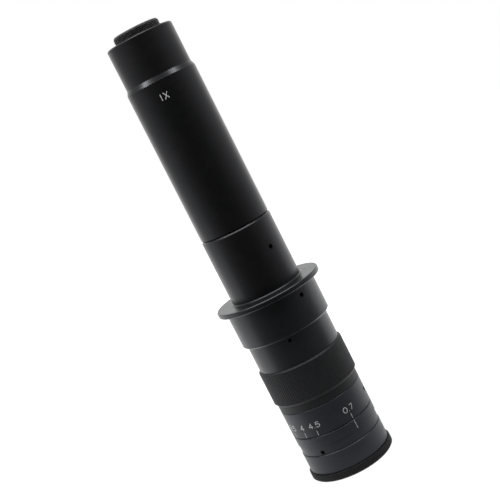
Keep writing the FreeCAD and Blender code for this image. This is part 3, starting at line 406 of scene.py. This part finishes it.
dress(grey_anodised, "scale_ring")
low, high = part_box("scale_ring")
scale_radius = high.x * 1000
scale_foot = low.z * 1000
zoom_turn, lowest, highest = 308.5, 0.7, 4.5
tick_foot, tick_top, tick_width = 0.46, 3.19, 0.32
figure_size, figure_stroke, figure_lift, figure_step = 2.85, 0.42, 4.87, 2.05
tick = line((0, tick_foot), (0, tick_top))
places = {1: (0,), 3: (-figure_step, 0, figure_step)}
marks = []
for label in ("0.7", "1", "1.5", "2", "2.5", "3", "3.5", "4", "4.5"):
    share = np.log(float(label) / lowest) / np.log(highest / lowest)
    angle = first_angle + zoom_turn * share
    marks.append(stroke_ribbon(tick, tick_width, scale_radius, angle, scale_foot))
    marks += figures(label, places[len(label)], figure_size, figure_stroke, scale_radius, angle,
                     scale_foot + figure_lift)
new_piece("scale_marks", marks, scale_paint, "zoom")

# Set screws: blackened steel with hexagon sockets, just under the surface of the rings that they
# clamp. Their steel is painted darker than it is, with weak reflections, as painted shade in their
# holes.


def screw_steel_painted_shade():
    """Steel blackened in a hot salt bath, with a little bare metal showing through. Its colour and
    reflection are turned down below the steel's own, as painted shade of the screw holes.
    """
    finish, start = new_finish("screw_steel_painted_shade")
    place = start.node("ShaderNodeTexCoord", out="Object")
    rubbed = noise(start, place, 1500, 4)
    bare = start.node("ShaderNodeMapRange", sockets={0: rubbed, 1: 0.58, 2: 0.8})
    # Painted shade: the near-black base colour and the weak reflection make the screws as dark as
    # the shaded holes they sit in.
    return coat(finish, start, {
        "Base Color": blend(start, bare, (0.002, 0.002, 0.0022), (0.008, 0.008, 0.009)),
        "Roughness": 0.42 + 0.15 * rubbed, "Specular IOR Level": 0.08,
        "Normal": relief(start, rubbed, strength=0.5)})


dress(screw_steel_painted_shade(), "index_ring_screws", "scale_ring_screws", "zoom_ring_screws",
      "main_body_screws", "mounting_collar_screws", "coupling_tube_screws")

# Main body, rear cell and stop: the body holds the guide barrel below, and the
# rear lenses inside its long spigot above. A thin washer closes the gap at its foot.


def turned_ring(section):
    """A plain turned ring from the radii and heights of its section's corners."""
    turns = full_turn(192)
    radius, height = np.array(section, float).T[..., None] + 0 * turns
    return round_grid(radius, height, turns)


low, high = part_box("main_body")
body_radius = high.x * 1000
body_foot = low.z * 1000
body_black = anodised("body_black", (0.0032, 0.0040, 0.0046), (0.0052, 0.0062, 0.0068),
                      roughness=0.34, blast=0.5, marks=0.5)
dress(body_black, "main_body")
washer_inner, washer_outer = body_radius - 0.6, body_radius - 0.01
washer_foot, washer_top = body_foot - 0.27, body_foot + 0.35
new_piece("foot_washer", [turned_ring([
    (washer_inner, washer_foot), (washer_outer, washer_foot),
    (washer_outer, washer_top), (washer_inner, washer_top)])], body_black, "lens")
dress(inner_black, "rear_cell", "rear_retaining_ring", "aperture_stop")
dress(clear_glass, "rear_crown", "rear_flint")

# Mounting collar: the 50 mm barrel that a stand's ring grips, with its flange in
# one piece. It is turned and anodised with the main body.

dress(body_black, "mounting_collar")

# Coupling tube and main tube: black anodised tubes with a satin finish, and a low
# lip where they stand on the flange. The tube lens sits in its own cell, and its
# magnification is painted outside.

dress(tube_black, "coupling_tube", "main_tube")
dress(inner_black, "tube_lens_cell", "tube_lens_retaining_ring", "tube_lens_lock_ring")
dress(clear_glass, "tube_lens_crown", "tube_lens_flint")
low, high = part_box("mounting_collar")
flange_top = high.z * 1000
low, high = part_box("coupling_tube")
tube_radius = high.x * 1000
lip_inner, lip_crown, lip_outer = tube_radius - 0.4, tube_radius + 0.2, tube_radius + 0.7
lip_foot, lip_edge, lip_top = flange_top - 0.05, flange_top + 0.15, flange_top + 0.6
new_piece("foot_lip", [turned_ring([
    (lip_inner, lip_foot), (lip_outer, lip_foot), (lip_outer, lip_edge),
    (lip_crown, lip_top), (lip_inner, lip_top)])], tube_black, "lens")
low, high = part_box("main_tube")
main_radius = high.x * 1000
power_size, power_stroke, power_step, power_angle, power_drop = 3.05, 0.48, 1.38, -7.3, 12.2
tube_paint = pale_paint("tube_paint", (0.82, 0.82, 0.80))
tube_figure = figures("1X", (-power_step, power_step), power_size, power_stroke, main_radius,
                      power_angle, high.z * 1000 - power_drop)
new_piece("tube_figure", tube_figure, tube_paint, "lens")

# Camera tube: black anodised and screwed into the main tube's end. Its male thread
# takes the camera: 1 inch across and 32 turns to the inch, with a relief at the
# shoulder and a chamfer at the end. Cameras have rubbed the thread paler.


def camera_tube(top, outer):
    """The whole turned tube as one closed grid, with the thread's rows in its section.

    On the thread the radius is the crest's less the depth times the cut. The lead-in cone and
    the relief at the shoulder cap it.
    """
    crest, pitch, depth = 12.7, 25.4 / 32, 0.44
    lead_drop, lead_length, relief_length, edge = 0.8, 1.1, 0.5, 0.6
    bore, spigot, thread_bore, floor_thickness = 15.3, 16.9, 11.0, 2.0
    thread_length, tube_length, spigot_length, rows = 4.4, 22.1, 12.0, 88
    shoulder = top - thread_length
    seat = shoulder - tube_length
    foot = seat - spigot_length
    turns = full_turn(256)
    rise = np.linspace(shoulder, top, rows)
    lead = crest - lead_drop + np.clip((top - rise) / lead_length, 0, 1) * lead_drop
    undercut = np.where(rise < shoulder + relief_length, crest - depth, crest)
    ridges = crest - depth * thread_cut(rise, turns, pitch)
    thread = np.minimum(ridges, np.minimum(lead, undercut)[:, None])
    outside = np.array([
        (spigot, seat), (outer, seat), (outer, shoulder - edge), (outer - edge, shoulder)])
    inside = np.array([
        (thread_bore, top), (thread_bore, shoulder - floor_thickness),
        (bore, shoulder - floor_thickness), (bore, foot), (spigot, foot)])
    around = np.ones_like(turns)
    radius = np.vstack([outside[:, :1] * around, thread, inside[:, :1] * around])
    height = np.concatenate([outside[:, 1], rise, inside[:, 1]])[:, None] * around
    return round_grid(radius, height, turns)


rubbed_length = 0.0043
low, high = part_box("camera_tube")
camera_black = anodised("camera_black", (0.0042, 0.0042, 0.0045), (0.0060, 0.0060, 0.0063),
                        roughness=0.35, blast=0.3, marks=0.45, thread=high.z - rubbed_length)
camera_surface = camera_tube(high.z * 1000, high.x * 1000)
camera_end = new_piece("camera_end", [camera_surface], camera_black, "lens")
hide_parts("camera_tube")

# Studio: a white table that glows faintly towards the back and keeps the lens's
# shadow, and pale surroundings that darken towards the camera, which gives the dark
# stripe down the tubes. A wide soft lamp hangs overhead, and a small one at each side.


def smooth_rise(start, value, low, high, first, last):
    """Goes smoothly from the first to the last as the value goes from low to high."""
    return start.node("ShaderNodeMapRange", {"interpolation_type": "SMOOTHSTEP"},
                      {0: value, 1: low, 2: high, 3: first, 4: last})


side, front, back = 0.7, -0.28, 1.2
floor_mesh = bpy.data.meshes.new("floor")
floor_mesh.from_pydata([(-side, front, 0), (side, front, 0), (side, back, 0), (-side, back, 0)],
                       [], [(0, 1, 2, 3)])
floor = bpy.data.objects.new("floor", floor_mesh)
bpy.context.scene.collection.objects.link(floor)
floor_white, start = new_finish("floor_white")
place = start.node("ShaderNodeTexCoord", out="Object")
away = start.node("ShaderNodeVectorMath", {"operation": "LENGTH"}, {0: place}, out="Value")
seen = start.node("ShaderNodeLightPath", out="Is Camera Ray")
grain = noise(start, place, 40, 3)
far = start.node("ShaderNodeMapRange", sockets={0: away, 1: 0.05, 2: 0.22, 3: 0.72, 4: 1.0})
fibres = start.node("ShaderNodeMapRange", sockets={0: grain, 3: 0.24, 4: 0.28})
paper = start.node("ShaderNodeBsdfDiffuse", sockets={"Color": fibres})
across = start.node("ShaderNodeSeparateXYZ", sockets={0: place}, out="X")
behind = start.node("ShaderNodeSeparateXYZ", sockets={0: place}, out="Y") - 0.15 * across
lit = smooth_rise(start, behind, -0.09, 0.04, 0.0, 1.0)
glow = start.node("ShaderNodeEmission", sockets={"Color": (1, 1, 1, 1), "Strength": 1.35})
glowing = lit + seen * (far - lit)
lit_paper = start.node("ShaderNodeMixShader", sockets={0: glowing, 1: paper, 2: glow})
below = start.node("ShaderNodeNewGeometry", out="Backfacing")
clear = start.node("ShaderNodeBsdfTransparent")
sheet = start.node("ShaderNodeMixShader", sockets={0: below, 1: lit_paper, 2: clear})
start.node("ShaderNodeOutputMaterial", sockets={"Surface": sheet})
floor_mesh.materials.append(floor_white)

world = bpy.data.worlds.new("studio")
bpy.context.scene.world = world
world.use_nodes = True
world.node_tree.nodes.clear()
start = Wire(world.node_tree)
way = start.node("ShaderNodeTexCoord", out="Generated")
towards_back = start.node("ShaderNodeSeparateXYZ", sockets={0: way}, out="Y")
side_walls = smooth_rise(start, towards_back, -1.0, 0.35, 0.04, 0.5)
back_wall = smooth_rise(start, towards_back, 0.4, 1.0, 0.0, 0.8)
walls = side_walls + back_wall
seen = start.node("ShaderNodeLightPath", out="Is Camera Ray")
strength = walls + seen * (1.0 - walls)
sky = start.node("ShaderNodeBackground", sockets={"Color": (1, 1, 1, 1), "Strength": strength})
start.node("ShaderNodeOutputWorld", sockets={"Surface": sky})

for name, place, aim, wide, deep, power in (
    ("overhead_lamp", (0, -0.15, 0.9), (0, -0.15, 0), 1.2, 0.4, 4.5),
    ("left_lamp", (-0.65, -0.4, 0.85), (0, 0, 0.18), 0.25, 0.25, 2.8),
    ("right_lamp", (0.65, -0.4, 0.85), (0, 0, 0.18), 0.25, 0.25, 2.2),
):
    lamp = bpy.data.lights.new(name, "AREA")
    lamp.shape = "RECTANGLE"
    lamp.size, lamp.size_y, lamp.energy = wide, deep, power
    holder = bpy.data.objects.new(name, lamp)
    bpy.context.scene.collection.objects.link(holder)
    towards = (Vector(aim) - Vector(place)).to_track_quat("-Z", "Y")
    holder.matrix_world = Matrix.Translation(place) @ towards.to_matrix().to_4x4()

# Camera: where the photograph was taken from, turned about its own line of sight
# so that the upright lens leans as it does there. The focal length is in pixels.

picture_width, sensor_width = 500, 36.0
focal, distance, eye_height = 1050.5, 0.5436, 0.20546
yaw, pitch, roll = np.radians((0.142, 8.262, -26.865))
forward = np.array([np.sin(yaw) * np.cos(pitch), np.cos(yaw) * np.cos(pitch), -np.sin(pitch)])
level = np.array([np.cos(yaw), -np.sin(yaw), 0.0])
above = np.cross(level, forward)
right = level * np.cos(roll) + above * np.sin(roll)
top = above * np.cos(roll) - level * np.sin(roll)
view = bpy.data.cameras.new("photo_camera")
view.sensor_width = sensor_width
view.lens = focal / picture_width * sensor_width
view.clip_start, view.clip_end = 0.01, 100.0
camera = bpy.data.objects.new("photo_camera", view)
bpy.context.scene.collection.objects.link(camera)
place = np.eye(4)
place[:3] = np.stack([right, top, -forward, (0, -distance, eye_height)], 1)
camera.matrix_world = Matrix(place.tolist())
bpy.context.scene.camera = camera
bpy.context.scene.view_settings.view_transform = "Standard"

bpy.context.view_layer.update()
